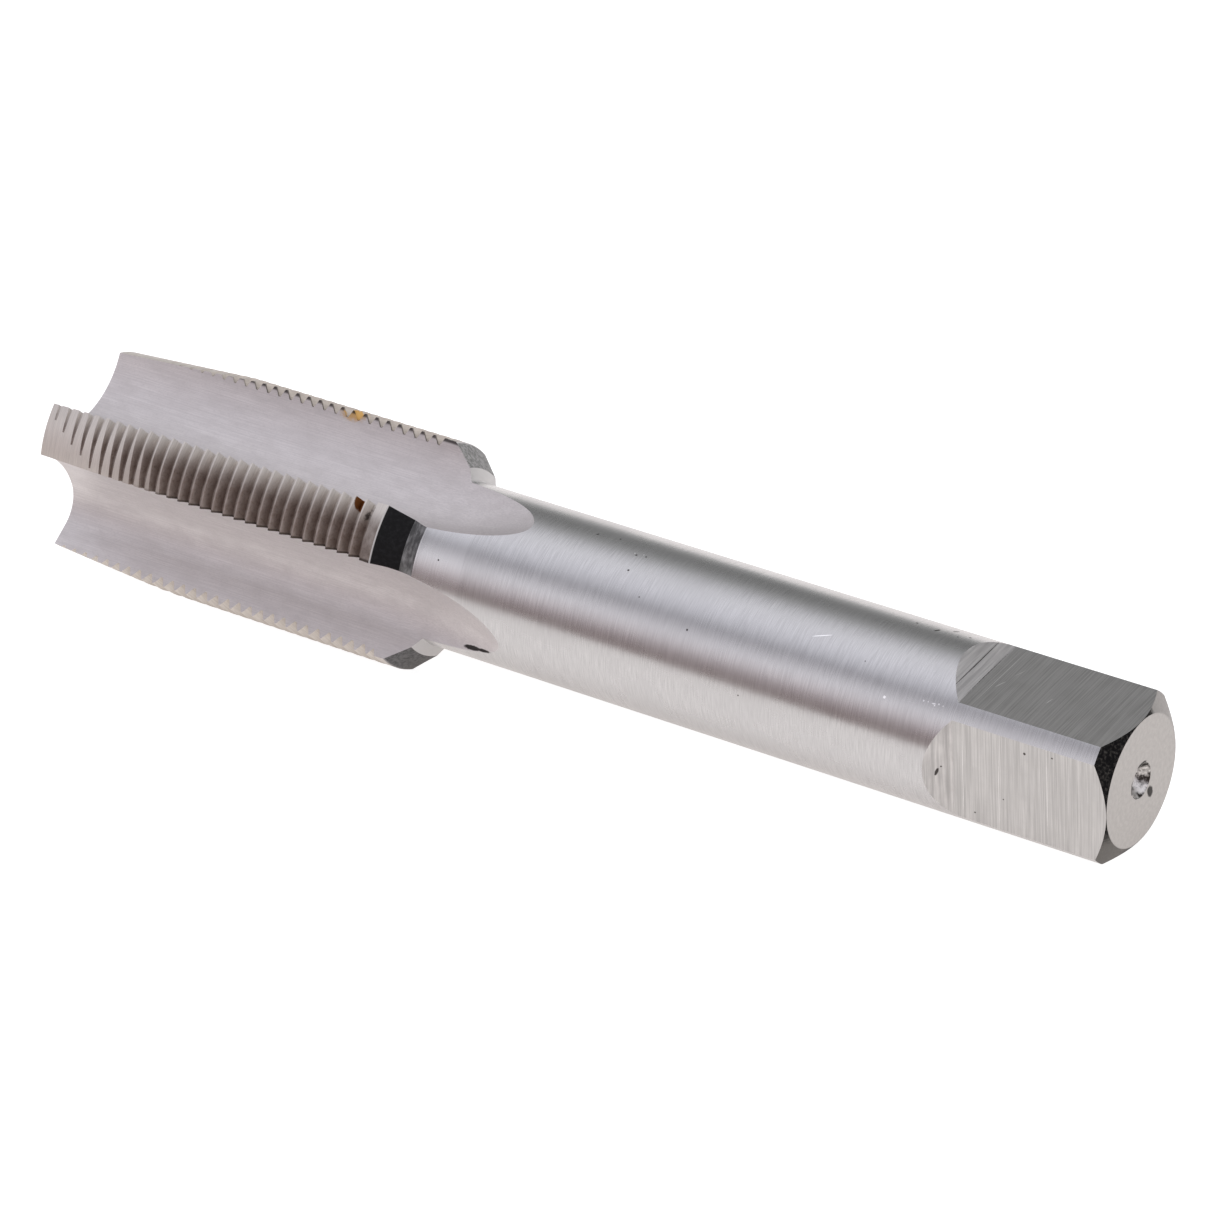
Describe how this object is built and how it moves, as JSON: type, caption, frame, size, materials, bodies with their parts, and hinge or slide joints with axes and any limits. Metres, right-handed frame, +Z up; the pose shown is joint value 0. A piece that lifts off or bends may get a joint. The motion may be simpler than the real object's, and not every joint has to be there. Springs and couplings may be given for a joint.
{
  "type": "thread tap",
  "caption": "Right-hand hand tap with a fine thread on four straight-fluted lands, a long taper lead, a thinner ground shank and a drive square at its end.",
  "frame": {"origin": "on the tap's axis, halfway between its tip and the end of the drive square", "axes": "X along the tap's axis, +X from the cutting tip towards the drive square; +Z up, through the middle of one flute, as the tap lies on two of its lands; Y across"},
  "size_m": [0.13, 0.0216, 0.0216],
  "materials": {
    "tap": "ground, with black scale on the back chamfer"
  },
  "bodies": {
    "root": {"tap": "tap"}
  },
  "joints": []
}
